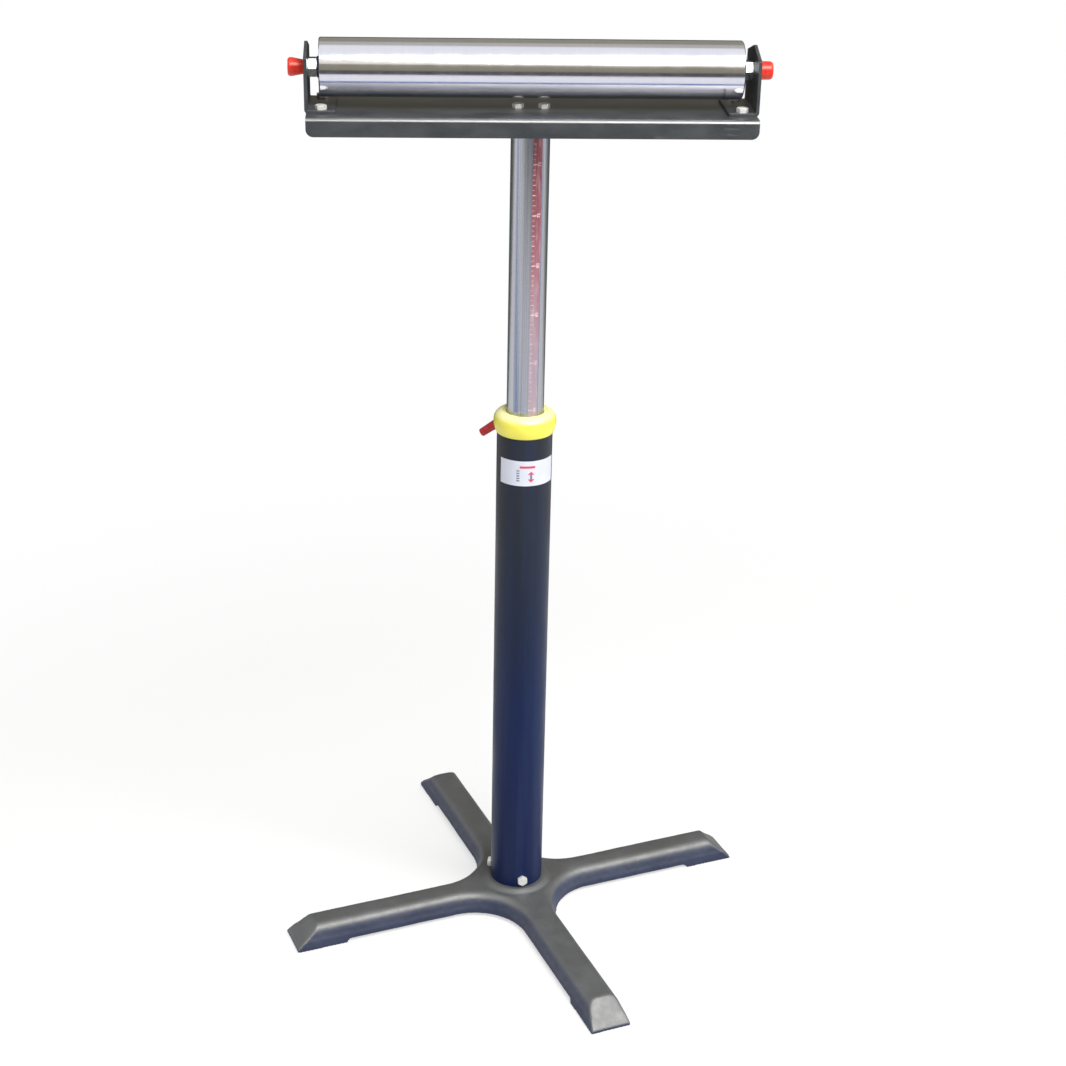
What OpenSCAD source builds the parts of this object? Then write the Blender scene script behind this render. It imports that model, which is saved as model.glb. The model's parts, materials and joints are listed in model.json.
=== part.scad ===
// Roller stand: a cast cross foot, a fixed column, a sliding mast that a clamp screw
// holds, and a channel head that carries a ball-bearing roller.
// +X runs along the roller, +Z is up, the origin is on the floor under the column.
// The stand is drawn at the height shown, with the mast clamped.

/* [Roller] */
// Height of the top of the roller above the floor
stand_height = 956; // [700:1:1060]
// Outside diameter of the roller
roller_d = 55; // [50:1:80]
// Length of the roller
roller_length = 400; // [300:1:600]
// Wall of the roller tube
roller_wall = 2.5; // [1.5:0.5:4]
// Chamfer on the roller's outer edges
roller_chamfer = 1; // [0.5:0.25:1.5]
// Gap between the roller and the channel below it
roller_clearance = 9.5; // [8:0.5:30]

/* [Ball bearings] */
// Bore of each bearing, which is also the axle's nominal size
bearing_bore = 10; // [9:1:11]
// Outside diameter of each bearing
bearing_od = 30; // [28:1:32]
// Width of each bearing
bearing_width = 9; // [8:1:11]
// Diameter of one ball
ball_d = 4.8; // [4:0.2:5]
// Balls in each bearing
ball_count = 8; // [6:1:9]

/* [Channel] */
// Distance that each bracket's upright stands past the channel's end
bracket_overhang = 1.4; // [0:0.1:3]
// Width of the channel, front to back
channel_width = 102; // [96:1:120]
// Height of the channel's flanges
channel_height = 18; // [15:1:30]
// Sheet thickness of the channel
channel_wall = 3; // [2:0.5:3.5]
// Outside radius of the channel's two bends
channel_bend = 4.5; // [4:0.5:6]
// Cut across the lower corners of the flanges
channel_corner = 7; // [2:1:10]

/* [Roller brackets] */
// Width of each angle bracket, front to back
bracket_width = 70; // [68:1:84]
// Sheet thickness of each angle bracket
bracket_plate = 3; // [2:0.5:4]
// Length of the bracket's foot, measured over its upright
bracket_foot = 28.5; // [26:0.5:40]
// Height of the bracket's shoulders above the axle
bracket_shoulder = 14; // [11:1:18]
// Height of the bracket's tip above the axle
bracket_tip = 24; // [20:1:30]
// Radius of the bracket's rounded tip
bracket_tip_r = 5; // [3:0.5:8]
// Distance between the two bolts of a bracket
bracket_bolt_pitch = 54; // [48:1:56]
// Bolt line, measured inwards from the bracket's upright
bracket_bolt_inset = 12; // [11:0.5:14]

/* [Mast] */
// Outside diameter of the sliding mast
mast_d = 38; // [36:1:42]
// Wall of the mast
mast_wall = 2; // [1.5:0.5:3]
// Length of the mast tube
mast_length = 530; // [450:1:560]
// Distance between the two bolts that hold the channel
head_bolt_pitch = 25; // [22:0.5:26]
// Height of the steel plug in the top of the mast
head_plug_height = 20; // [14:1:40]
// Width of the height scale
scale_width = 10; // [6:1:14]

/* [Column] */
// Outside diameter of the fixed column
column_d = 57; // [56:1:60]
// Wall of the column
column_wall = 3; // [2:0.5:3.5]
// Height of the column's top edge above the floor
column_top = 578; // [560:1:620]
// Length of the guide bush in the column's mouth
bush_length = 60; // [40:1:90]
// Length of the glide ring on the mast's lower end
glide_length = 30; // [20:1:50]
// Height of the blank label
label_height = 27; // [15:1:50]
// Distance of the label's lower edge below the column's top edge
label_drop = 65.5; // [60:0.5:280]
// Angle that the label covers
label_angle = 130; // [60:5:180]

/* [Collar] */
// Wall of the collar round the column
collar_wall = 3.5; // [3.5:0.5:8]
// Wall of the collar at its lower edge, from which it bulges out
collar_foot_wall = 1; // [1:0.25:3]
// Height of the collar
collar_height = 22; // [18:1:30]
// Radius of the collar's rounded shoulder
collar_shoulder = 10; // [5:0.5:10.5]

/* [Clamp] */
// Direction of the clamp screw, turned from +X
clamp_azimuth = 95; // [60:1:120]
// Distance of the clamp screw below the column's top edge
clamp_drop = 13; // [12:1:38]
// Nominal size of the clamp screw
clamp_screw_d = 10; // [8:1:11]
// Diameter of the boss welded to the column
boss_d = 18; // [16:1:20]
// Reach of the boss outside the column
boss_reach = 11.5; // [8:0.5:16]
// Length of the lever from the screw's axis to its end
lever_length = 48; // [36:1:70]
// Diameter of the lever at its root
lever_root_d = 11; // [9:0.5:12]
// Diameter of the lever at its end
lever_end_d = 8.6; // [7:0.2:10]
// Slope of the lever below the horizontal
lever_slope = 38.5; // [10:0.5:60]
// Lean of the lever away from the column
lever_lean = 15; // [10:1:25]

/* [Foot casting] */
// Reach of each arm from the column's axis
arm_reach = 262; // [200:1:340]
// Width of an arm at the floor
arm_width = 45; // [42:1:56]
// Height of an arm
arm_height = 25; // [22:1:30]
// Angle of the drafted sides from the vertical
arm_draft = 15.6; // [8:0.2:18]
// Rounding of an arm's upper edges
arm_edge_r = 9; // [5:0.5:10]
// Iron thickness over the hollow underside
arm_wall = 6; // [5:0.5:8]
// Radius of the fillets between the arms
arm_fillet = 57; // [50:1:70]
// Angle of the first arm, turned from +X
arm_azimuth = 19; // [0:1:45]
// Length of the sloped end, along the arm
arm_slope_length = 25; // [15:1:35]
// Height of the upright lip below the sloped end
arm_lip = 3; // [2:0.5:5]
// Length of the pad under each arm's end
pad_length = 56; // [40:1:70]
// Height of each pad below the arm
pad_height = 3; // [2:0.5:5]
// Height of the column's seat above the arms
hub_rise = 3; // [2:1:6]
// Length of the spigot inside the column
spigot_length = 22; // [20:1:40]
// Height of the column's bolts above the column's lower edge
column_bolt_rise = 9; // [8:0.5:12]
// Direction of the first column bolt, turned from +X
column_bolt_azimuth = -80; // [-110:1:-60]

/* [Fasteners] */
// Nominal size of the small bolts
bolt_d = 6; // [5:0.5:6.5]
// Height of a small bolt's head
bolt_head = 4.2; // [3:0.2:6]

/* [Axle caps] */
// Length of each red end cap
cap_length = 16; // [12:0.5:22]
// Thickness of the cap's closed end
cap_end_wall = 3; // [2:0.5:6]
// Widest diameter of a cap
cap_d = 17.5; // [16:0.5:22]
// Diameter of the left cap where it meets the bracket
cap_root_left_d = 12.8; // [12.5:0.2:16]
// Diameter of the right cap where it meets the bracket
cap_root_right_d = 16; // [12.5:0.5:16]

/* [Fits] */
// Gap between pieces that are pressed or bolted together
static_gap = 0.05; // [0.02:0.01:0.1]
// Radial running clearance of turning and sliding pieces
running_gap = 0.08; // [0.04:0.01:0.1]
// Clearance of bolts in their holes
bolt_gap = 0.3; // [0.2:0.05:0.5]

/* [Hidden] */
$fn = 96;

// Overrun of every cut
cut = 1;
arm_count = 4;
arc_steps = 6;
column_bolt_count = 3;

// Roller, axle and bearings
roller_r = roller_d / 2;
roller_bore_r = roller_r - roller_wall;
roller_end = roller_length / 2;
axle_z = stand_height - roller_r;
axle_r = bearing_bore / 2 - running_gap / 4;
nut_flats_share = 1.7;
nut_height_share = 0.84;
washer_d_share = 2;
washer_height_share = 0.2;
axle_nut_flats = bearing_bore * nut_flats_share;
axle_nut_height = bearing_bore * nut_height_share;
axle_washer_r = bearing_bore * washer_d_share / 2;
axle_washer_height = bearing_bore * washer_height_share;
ball_pitch_r = (bearing_bore + bearing_od) / 4;
ball_r = ball_d / 2;
ball_groove_r = ball_r + running_gap / 2;
shoulder_share = 0.38;
inner_ring_r = ball_pitch_r - ball_d * shoulder_share;
outer_ring_bore_r = ball_pitch_r + ball_d * shoulder_share;
cage_wall = 0.9;
cage_gap = 0.4;
shield_height = 0.3;
shield_inset = 0.5;
shield_gap = 0.25;
cage_width = bearing_width - 2 * (shield_inset + shield_height + cage_gap);
housing_wall = 2;
housing_inset = 0.5;
housing_lip = 2;
housing_skirt = 3;
housing_depth = bearing_width + housing_lip + housing_skirt;

// Head
channel_top = stand_height - roller_d - roller_clearance;
web_z = channel_top - channel_wall;
bracket_inner_x = roller_end + axle_washer_height + axle_nut_height;
bracket_outer_x = bracket_inner_x + bracket_plate;
bracket_bend_inner = 1;
bracket_bolt_x = bracket_inner_x - bracket_bolt_inset;
channel_end = bracket_outer_x - bracket_overhang;
cap_bore_depth = cap_length - cap_end_wall;
axle_end_x = bracket_outer_x + cap_bore_depth - static_gap;
axle_tip_share = 0.1;
cap_waist_share = 0.75;
cap_edge_share = 0.1;
small_flats_share = 5 / 3;
small_washer_share = 0.26;
bolt_overrun_share = 1 / 3;
bolt_tip_share = 1 / 8;
thread_depth_share = 0.8;
small_flats = bolt_d * small_flats_share;
small_nut_height = bolt_d * nut_height_share;
small_washer_r = bolt_d;
small_washer_height = bolt_d * small_washer_share;
bracket_bolt_length = bracket_plate + channel_wall + small_washer_height + small_nut_height
    + bolt_d * bolt_overrun_share;
head_bolt_length = channel_wall + head_plug_height * thread_depth_share;

// Mast
mast_r = mast_d / 2;
mast_bore_r = mast_r - mast_wall;
mast_bottom = web_z - mast_length;
scale_azimuth = -70;
scale_depth = 0.2;
scale_margin = 8;
end_cap_flange = 3;
end_cap_plug = 15;
stop_ring_height = 2;
stop_ring_width = 3;
scale_bottom = mast_bottom + glide_length + stop_ring_height + scale_margin;
scale_top = web_z - head_plug_height;
scale_angle = scale_width / mast_r * 180 / PI;

// Column
column_r = column_d / 2;
column_bore_r = column_r - column_wall;
bush_flange = 2;
label_thickness = 0.2;
label_z = column_top - label_drop;
label_azimuth = -84;

// Collar
collar_r = column_r + collar_wall;
collar_roof = 5;
collar_bottom = column_top + bush_flange + collar_roof - collar_height;
collar_lip_width = 1.4;
collar_lip_height = 0.8;
collar_mouth_gap = 0.4;

// Clamp, with stations measured outwards from the column's axis
clamp_z = column_top - clamp_drop;
pad_height_radial = 3;
pad_gap = 0.2;
pad_start = mast_r + pad_gap;
screw_start = pad_start + pad_height_radial;
boss_end = column_r + boss_reach;
lever_hub_gap = 2;
lever_hub_start = boss_end + lever_hub_gap;
lever_hub_length = 16;
lever_hub_r = boss_d / 2;
lever_hub_end = lever_hub_start + lever_hub_length;
lever_root_share = 0.62;
lever_root = lever_hub_start + lever_hub_length * lever_root_share;
lever_edge_share = 1 / 3;
lever_screw_share = 0.4;
lever_screw_r = clamp_screw_d * lever_screw_share;
lever_screw_head = 3;
lever_screw_stem = 6;
screw_end = lever_hub_end - lever_screw_head - static_gap;

// Foot
hub_seat_z = arm_height + hub_rise;
spigot_top_z = hub_seat_z + spigot_length;
column_bolt_z = hub_seat_z + column_bolt_rise;
arm_half = arm_width / 2;
half_gap_angle = 180 / arm_count;
fillet_centre = (arm_half + arm_fillet) / sin(half_gap_angle);
arm_start = (arm_half + arm_fillet) / tan(half_gap_angle);
arm_slope_start = arm_reach - arm_slope_length;
pad_start_r = arm_reach - pad_length;
spigot_r = column_bore_r - static_gap;
spigot_wall = 9;
spigot_bore_r = spigot_r - spigot_wall;
hub_cone_bottom = 13;
hub_cone_top = 4;
hub_cone_bottom_r = column_r + hub_cone_bottom;
hub_cone_top_r = column_r + hub_cone_top;
hub_wall = 8;
pocket_start = column_r + hub_wall;
pocket_edge_r = arm_edge_r / 2;

// Points of an arc about (cx, cy), from angle a0 to a1
function arc(cx, cy, r, a0, a1, steps = arc_steps) =
    [for (i = [0 : steps]) let (a = a0 + (a1 - a0) * i / steps) [cx + r * cos(a), cy + r * sin(a)]];

// One side of an arm's cross-section, from the floor up to the flat top
function arm_edge(half, height, edge_r) =
    let (centre_z = height - edge_r,
        centre_y = half - centre_z * tan(arm_draft) - edge_r / cos(arm_draft))
    concat([[half, 0]], arc(centre_y, centre_z, edge_r, arm_draft, 90));

function mirrored(points) = [for (i = [len(points) - 1 : -1 : 0]) [-points[i][0], points[i][1]]];

function arm_section(half, height, edge_r) =
    let (edge = arm_edge(half, height, edge_r)) concat(edge, mirrored(edge));

// Lays a flat outline of (across, up) points along +X, from x0 to x1
module along_x(x0, x1) {
    translate([x0, 0, 0])
        rotate([90, 0, 90])
            linear_extrude(x1 - x0)
                children();
}

// Lays a flat outline of (along X, up) points across Y, centred
module across_y(width) {
    rotate([90, 0, 0])
        linear_extrude(width, center = true)
            children();
}

// Turns its children to the axis of the roller, facing outwards at the right end
module at_axle() {
    translate([0, 0, axle_z])
        rotate([0, 90, 0])
            children();
}

// Moves a right-hand piece to the left-hand end when side is -1
module on_side(side) {
    if (side > 0) children();
    else mirror([1, 0, 0]) children();
}

// Turns +X to a direction around the column, at a height
module around_column(azimuth, height) {
    rotate([0, 0, azimuth])
        translate([0, 0, height])
            children();
}

module hex_prism(flats, height) {
    cylinder(r = flats / sqrt(3), h = height, $fn = 6);
}

// Hexagon with its upper corners turned off
module hex_head(flats, height) {
    corner_r = flats / sqrt(3);
    turned = corner_r - flats / 2;
    intersection() {
        hex_prism(flats, height);
        rotate_extrude()
            polygon([[0, 0], [corner_r, 0], [corner_r, height - turned / 2],
                [flats / 2 - turned / 3, height], [0, height]]);
    }
}

module hex_nut(flats, height, bore_r) {
    corner_r = flats / sqrt(3);
    turned = corner_r - flats / 2;
    difference() {
        intersection() {
            hex_prism(flats, height);
            rotate_extrude()
                polygon([[0, 0], [flats / 2, 0], [corner_r, turned / 2],
                    [corner_r, height - turned / 2], [flats / 2, height], [0, height]]);
        }
        translate([0, 0, -cut])
            cylinder(r = bore_r, h = height + 2 * cut);
    }
}

// Hexagon bolt, its head's seat at zero and its shank running down
module hex_bolt(d, length, head) {
    tip = d * bolt_tip_share;
    rise = length + head / 2;
    hex_head(d * small_flats_share, head);
    translate([0, 0, -length])
        rotate_extrude()
            polygon([[0, 0], [d / 2 - tip, 0], [d / 2, tip], [d / 2, rise], [0, rise]]);
}

module washer(outer_r, bore_r, height) {
    difference() {
        cylinder(r = outer_r, h = height);
        translate([0, 0, -cut])
            cylinder(r = bore_r, h = height + 2 * cut);
    }
}

// Foot casting
module arm_end_profile() {
    polygon([[arm_start, -cut], [arm_reach, -cut], [arm_reach, arm_lip],
        [arm_slope_start, arm_height], [arm_slope_start - cut, arm_height + cut],
        [arm_start, arm_height + cut]]);
}

module arm() {
    intersection() {
        along_x(arm_start, arm_reach)
            polygon(arm_section(arm_half, arm_height, arm_edge_r));
        across_y(arm_width + 2 * cut)
            arm_end_profile();
    }
}

// Solid that leaves one fillet between two arms when it is taken away
module fillet_cutter() {
    edge = arm_edge(arm_half, arm_height, arm_edge_r);
    top = edge[len(edge) - 1];
    rotate_extrude()
        polygon(concat([[0, -cut], [arm_fillet - cut * tan(arm_draft), -cut]],
            [for (p = edge) [arm_fillet + arm_half - p[0], p[1]]],
            [[arm_fillet + arm_half - top[0], arm_height + cut], [0, arm_height + cut]]));
}

module hub() {
    corners = [for (i = [0 : arm_count - 1]) let (a = (2 * i + 1) * half_gap_angle)
        [fillet_centre * cos(a), fillet_centre * sin(a)]];
    difference() {
        linear_extrude(arm_height)
            polygon(corners);
        for (c = corners)
            translate([c[0], c[1], 0])
                fillet_cutter();
    }
}

module arm_pocket() {
    across = arm_half - arm_wall / cos(arm_draft);
    along_x(pocket_start, pad_start_r)
        translate([0, -cut])
            polygon(arm_section(across + cut * tan(arm_draft), arm_height - arm_wall + cut, pocket_edge_r));
}

module arm_relief() {
    across_y(arm_width + 2 * cut)
        polygon([[0, -cut], [pad_start_r + cut, -cut], [pad_start_r, 0],
            [pad_start_r - pad_height, pad_height], [0, pad_height]]);
}

module base_casting() {
    color([0.24, 0.25, 0.27])
        difference() {
            union() {
                rotate([0, 0, arm_azimuth]) {
                    hub();
                    for (i = [0 : arm_count - 1])
                        rotate([0, 0, i * 360 / arm_count])
                            arm();
                }
                translate([0, 0, arm_height - cut])
                    cylinder(r1 = hub_cone_bottom_r, r2 = hub_cone_top_r, h = hub_seat_z - arm_height + cut);
                translate([0, 0, arm_height])
                    cylinder(r = spigot_r, h = spigot_top_z - arm_height);
            }
            translate([0, 0, -cut])
                cylinder(r = spigot_bore_r, h = spigot_top_z + 2 * cut);
            rotate([0, 0, arm_azimuth]) {
                translate([-arm_start, -arm_start, -cut])
                    cube([2 * arm_start, 2 * arm_start, pad_height + cut]);
                for (i = [0 : arm_count - 1])
                    rotate([0, 0, i * 360 / arm_count]) {
                        arm_relief();
                        arm_pocket();
                    }
            }
            for (i = [0 : column_bolt_count - 1])
                around_column(column_bolt_azimuth + i * 360 / column_bolt_count, column_bolt_z)
                    rotate([0, 90, 0])
                        cylinder(r = bolt_d / 2 + static_gap, h = column_r + cut);
        }
}

// Column
module outer_tube() {
    color([0.14, 0.15, 0.20])
        difference() {
            translate([0, 0, hub_seat_z])
                cylinder(r = column_r, h = column_top - hub_seat_z);
            translate([0, 0, hub_seat_z - cut])
                cylinder(r = column_bore_r, h = column_top - hub_seat_z + 2 * cut);
            for (i = [0 : column_bolt_count - 1])
                around_column(column_bolt_azimuth + i * 360 / column_bolt_count, column_bolt_z)
                    rotate([0, 90, 0])
                        cylinder(r = bolt_d / 2 + bolt_gap, h = column_r + cut);
            around_column(clamp_azimuth, clamp_z)
                rotate([0, 90, 0])
                    cylinder(r = clamp_screw_d / 2 + bolt_gap, h = column_r + cut);
        }
}

module column_bolts() {
    shank = column_wall + spigot_wall * thread_depth_share;
    color([0.80, 0.80, 0.80])
        for (i = [0 : column_bolt_count - 1])
            around_column(column_bolt_azimuth + i * 360 / column_bolt_count, column_bolt_z)
                translate([column_r + static_gap, 0, 0])
                    rotate([0, 90, 0])
                        hex_bolt(bolt_d, shank, bolt_head);
}

module guide_bush() {
    bottom = column_top - bush_length;
    color([0.12, 0.12, 0.12])
        difference() {
            union() {
                translate([0, 0, bottom])
                    cylinder(r = column_bore_r - static_gap, h = bush_length);
                translate([0, 0, column_top])
                    cylinder(r = column_r - static_gap, h = bush_flange);
            }
            translate([0, 0, bottom - cut])
                cylinder(r = mast_r + running_gap, h = bush_length + bush_flange + 2 * cut);
            around_column(clamp_azimuth, clamp_z)
                rotate([0, 90, 0])
                    cylinder(r = clamp_screw_d / 2 + bolt_gap, h = column_r + cut);
        }
}

module top_collar() {
    bore = column_r + static_gap;
    mouth = mast_r + collar_mouth_gap;
    lip_x = mouth + 2 * collar_lip_width;
    shoulder = min(collar_shoulder, collar_r - lip_x);
    roof_z = collar_height - collar_roof;
    belly_z = collar_height - shoulder;
    bulge = collar_wall - collar_foot_wall;
    belly_r = (belly_z * belly_z + bulge * bulge) / (2 * bulge);
    belly = arc(collar_r - belly_r, belly_z, belly_r, -asin(belly_z / belly_r), 0, 2 * arc_steps);
    color([0.90, 0.87, 0.20])
        difference() {
            translate([0, 0, collar_bottom])
                rotate_extrude()
                    polygon(concat([[bore, 0]], [for (i = [0 : len(belly) - 2]) belly[i]],
                        arc(collar_r - shoulder, collar_height - shoulder, shoulder, 0, 90, 2 * arc_steps),
                        [[lip_x, collar_height - collar_lip_height],
                        [mouth + collar_lip_width, collar_height - collar_lip_height / 4],
                        [mouth, collar_height - collar_lip_height], [mouth, roof_z], [bore, roof_z]]));
            around_column(clamp_azimuth, clamp_z)
                rotate([0, 90, 0])
                    cylinder(r = boss_d / 2 + bolt_gap, h = collar_r + cut);
            around_column(clamp_azimuth, 0)
                translate([mast_r + cut, -boss_d / 2 - bolt_gap, clamp_z - collar_height])
                    cube([collar_r, boss_d + 2 * bolt_gap, collar_height]);
        }
}

module label() {
    color([0.92, 0.93, 0.96])
        translate([0, 0, label_z])
            rotate([0, 0, label_azimuth - label_angle / 2])
                rotate_extrude(angle = label_angle)
                    translate([column_r + static_gap, 0])
                        square([label_thickness, label_height]);
}

// Clamp
module clamp_boss() {
    color([0.14, 0.15, 0.18])
        difference() {
            around_column(clamp_azimuth, clamp_z)
                translate([column_bore_r, 0, 0])
                    rotate([0, 90, 0])
                        cylinder(r = boss_d / 2, h = boss_end - column_bore_r);
            translate([0, 0, clamp_z - boss_d])
                cylinder(r = column_r + static_gap, h = 2 * boss_d);
            around_column(clamp_azimuth, clamp_z)
                rotate([0, 90, 0])
                    cylinder(r = clamp_screw_d / 2 + running_gap, h = boss_end + cut);
        }
}

module pressure_pad() {
    color([0.75, 0.62, 0.35])
        around_column(clamp_azimuth, clamp_z)
            translate([pad_start, 0, 0])
                rotate([0, 90, 0])
                    cylinder(r = clamp_screw_d / 2 - bolt_gap, h = pad_height_radial);
}

module clamp_screw() {
    color([0.70, 0.71, 0.72])
        difference() {
            around_column(clamp_azimuth, clamp_z)
                translate([screw_start, 0, 0])
                    rotate([0, 90, 0])
                        cylinder(r = clamp_screw_d / 2, h = screw_end - screw_start);
            around_column(clamp_azimuth, clamp_z)
                translate([screw_end - lever_screw_stem, 0, 0])
                    rotate([0, 90, 0])
                        cylinder(r = lever_screw_r / 2 + static_gap, h = lever_screw_stem + cut);
        }
}

// Turns +Z to the lever's direction
module along_lever() {
    direction = [sin(lever_lean), cos(lever_slope) * cos(lever_lean), -sin(lever_slope) * cos(lever_lean)];
    rotate([0, acos(direction[2]), atan2(direction[1], direction[0])])
        children();
}

module clamp_lever() {
    end_r = lever_end_d / 2;
    edge = end_r * lever_edge_share;
    color([0.78, 0.12, 0.13])
        around_column(clamp_azimuth, clamp_z)
            difference() {
                union() {
                    translate([lever_hub_start, 0, 0])
                        rotate([0, 90, 0])
                            rotate_extrude()
                                polygon([[0, 0], [lever_hub_r, 0], [lever_hub_r, lever_hub_length - edge],
                                    [lever_hub_r - edge, lever_hub_length], [0, lever_hub_length]]);
                    translate([lever_root, 0, 0])
                        along_lever()
                            rotate_extrude()
                                polygon([[0, 0], [lever_root_d / 2, 0], [end_r, lever_length - edge],
                                    [end_r - edge, lever_length], [0, lever_length]]);
                }
                translate([lever_hub_start - cut, 0, 0])
                    rotate([0, 90, 0])
                        cylinder(r = clamp_screw_d / 2 + static_gap, h = lever_hub_length + 2 * cut);
            }
}

module lever_screw() {
    color([0.55, 0.56, 0.58])
        around_column(clamp_azimuth, clamp_z) {
            translate([lever_hub_end - lever_screw_head, 0, 0])
                rotate([0, 90, 0])
                    cylinder(r = lever_screw_r, h = lever_screw_head);
            translate([lever_hub_end - lever_screw_head - lever_screw_stem + cut, 0, 0])
                rotate([0, 90, 0])
                    cylinder(r = lever_screw_r / 2, h = lever_screw_stem);
        }
}

// Mast
module lower_glide() {
    color([0.90, 0.90, 0.86])
        translate([0, 0, mast_bottom + static_gap])
            washer(column_bore_r - running_gap, mast_r + running_gap, glide_length - static_gap);
}

module inner_tube() {
    color([0.78, 0.78, 0.78])
        difference() {
            translate([0, 0, mast_bottom])
                cylinder(r = mast_r, h = mast_length);
            translate([0, 0, mast_bottom - cut])
                cylinder(r = mast_bore_r, h = mast_length + 2 * cut);
            translate([0, 0, scale_bottom])
                rotate([0, 0, scale_azimuth - scale_angle / 2])
                    rotate_extrude(angle = scale_angle)
                        translate([mast_r - scale_depth, 0])
                            square([scale_depth + cut, scale_top - scale_bottom]);
        }
}

module tube_end_cap() {
    color([0.12, 0.12, 0.12]) {
        translate([0, 0, mast_bottom - end_cap_flange])
            cylinder(r = mast_r + stop_ring_width, h = end_cap_flange);
        translate([0, 0, mast_bottom - end_cap_flange])
            cylinder(r = mast_bore_r - static_gap, h = end_cap_flange + end_cap_plug);
    }
}

module glide_stop_ring() {
    color([0.55, 0.56, 0.58])
        translate([0, 0, mast_bottom + glide_length + running_gap])
            washer(mast_r + stop_ring_width, mast_r + static_gap, stop_ring_height);
}

module height_scale() {
    color([0.80, 0.55, 0.58])
        translate([0, 0, scale_bottom + static_gap])
            rotate([0, 0, scale_azimuth - scale_angle / 2])
                rotate_extrude(angle = scale_angle)
                    translate([mast_r - scale_depth + static_gap / 2, 0])
                        square([scale_depth - static_gap, scale_top - scale_bottom - 2 * static_gap]);
}

module top_plug() {
    color([0.62, 0.63, 0.65])
        difference() {
            translate([0, 0, web_z - head_plug_height])
                cylinder(r = mast_bore_r - static_gap, h = head_plug_height);
            for (side = [-1, 1])
                translate([side * head_bolt_pitch / 2, 0, web_z - head_plug_height - cut])
                    cylinder(r = bolt_d / 2 + static_gap, h = head_plug_height + 2 * cut);
        }
}

// Channel and brackets
module bend_ring(outer, inner, quadrant) {
    intersection() {
        difference() {
            circle(r = outer);
            circle(r = inner);
        }
        rotate(quadrant * 90)
            square([outer + cut, outer + cut]);
    }
}

module channel_section() {
    half = channel_width / 2;
    inner_bend = channel_bend - channel_wall;
    bend_z = channel_top - channel_bend;
    bottom = channel_top - channel_height;
    translate([-half + channel_bend, web_z])
        square([channel_width - 2 * channel_bend, channel_wall]);
    for (side = [-1, 1]) {
        translate([side * (half - channel_bend), bend_z])
            bend_ring(channel_bend, inner_bend, side > 0 ? 0 : 1);
        translate([side > 0 ? half - channel_wall : -half, bottom])
            square([channel_wall, bend_z - bottom]);
    }
}

module channel_beam() {
    end = channel_end;
    bottom = channel_top - channel_height;
    color([0.22, 0.23, 0.24])
        difference() {
            intersection() {
                along_x(-end, end)
                    channel_section();
                across_y(channel_width + 2 * cut)
                    polygon(concat([[end, channel_top + cut], [-end, channel_top + cut]],
                        arc(-end + channel_corner, bottom + channel_corner, channel_corner, 180, 270),
                        arc(end - channel_corner, bottom + channel_corner, channel_corner, 270, 360)));
            }
            for (side = [-1, 1]) {
                for (row = [-1, 1])
                    translate([side * bracket_bolt_x, row * bracket_bolt_pitch / 2, web_z - cut])
                        cylinder(r = (bolt_d + bolt_gap) / 2, h = channel_wall + 2 * cut);
                translate([side * head_bolt_pitch / 2, 0, web_z - cut])
                    cylinder(r = (bolt_d + bolt_gap) / 2, h = channel_wall + 2 * cut);
            }
        }
}

module bracket_section() {
    outer_bend = bracket_plate + bracket_bend_inner;
    translate([bracket_outer_x - bracket_foot, channel_top])
        square([bracket_foot - outer_bend, bracket_plate]);
    translate([bracket_inner_x, channel_top + outer_bend])
        square([bracket_plate, axle_z + bracket_tip - channel_top - outer_bend]);
    translate([bracket_outer_x - outer_bend, channel_top + outer_bend])
        bend_ring(outer_bend, bracket_bend_inner, 3);
}

// Face of a bracket, seen along X: straight sides, sloping shoulders and a rounded tip
module bracket_face() {
    half = bracket_width / 2;
    shoulder_z = axle_z + bracket_shoulder;
    tip_z = axle_z + bracket_tip;
    rise = atan2(tip_z - bracket_tip_r - shoulder_z, half);
    reach = norm([tip_z - bracket_tip_r - shoulder_z, half]);
    lean = rise + asin(bracket_tip_r / reach);
    polygon(concat([[-half, channel_top - cut], [half, channel_top - cut], [half, shoulder_z]],
        arc(0, tip_z - bracket_tip_r, bracket_tip_r, 90 - lean, 90 + lean), [[-half, shoulder_z]]));
}

module bracket(side) {
    color([0.20, 0.21, 0.22])
        on_side(side)
            difference() {
                intersection() {
                    across_y(bracket_width)
                        bracket_section();
                    along_x(bracket_outer_x - bracket_foot - cut, bracket_outer_x + cut)
                        bracket_face();
                }
                for (row = [-1, 1])
                    translate([bracket_bolt_x, row * bracket_bolt_pitch / 2, channel_top - cut])
                        cylinder(r = (bolt_d + bolt_gap) / 2, h = bracket_plate + 2 * cut);
                at_axle()
                    translate([0, 0, bracket_inner_x - cut])
                        cylinder(r = (bearing_bore + bolt_gap) / 2, h = bracket_plate + 2 * cut);
            }
}

module at_bracket_bolts(z) {
    for (side = [-1, 1])
        for (row = [-1, 1])
            translate([side * bracket_bolt_x, row * bracket_bolt_pitch / 2, z])
                children();
}

module bracket_bolts() {
    color([0.84, 0.84, 0.83])
        at_bracket_bolts(channel_top + bracket_plate)
            hex_bolt(bolt_d, bracket_bolt_length, bolt_head);
}

module bracket_washers() {
    color([0.78, 0.78, 0.77])
        at_bracket_bolts(web_z - small_washer_height)
            washer(small_washer_r, (bolt_d + bolt_gap) / 2, small_washer_height);
}

module bracket_nuts() {
    color([0.78, 0.78, 0.77])
        at_bracket_bolts(web_z - small_washer_height - small_nut_height)
            hex_nut(small_flats, small_nut_height, bolt_d / 2 + static_gap);
}

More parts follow.
